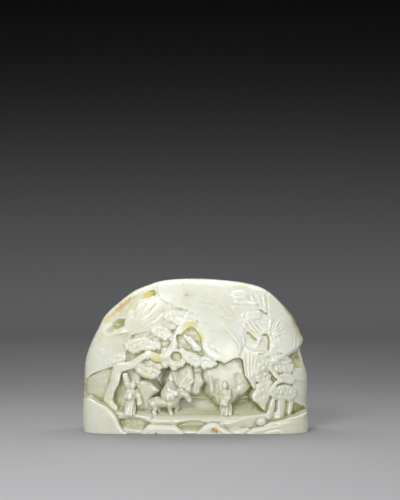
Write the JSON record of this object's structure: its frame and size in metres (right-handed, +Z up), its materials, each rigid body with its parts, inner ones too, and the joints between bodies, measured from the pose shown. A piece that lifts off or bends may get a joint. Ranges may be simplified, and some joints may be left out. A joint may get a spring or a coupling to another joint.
{
  "type": "jade boulder carving",
  "caption": "Carved pale jade boulder: a mountain with a grotto, pines, a rider on a horse, attendants and a pavilion; stands on its flat underside.",
  "frame": {"origin": "middle of the bounding box at the level of the flat underside", "axes": "+X along the width of the boulder, to the right seen from the carved face; +Y from the carved face to the back; +Z up"},
  "size_m": [0.2194, 0.0698, 0.1465],
  "materials": {
    "jade": "polished pale celadon nephrite with a waxy sheen and russet flecks"
  },
  "bodies": {
    "root": {"jade_boulder": "jade"}
  },
  "joints": []
}
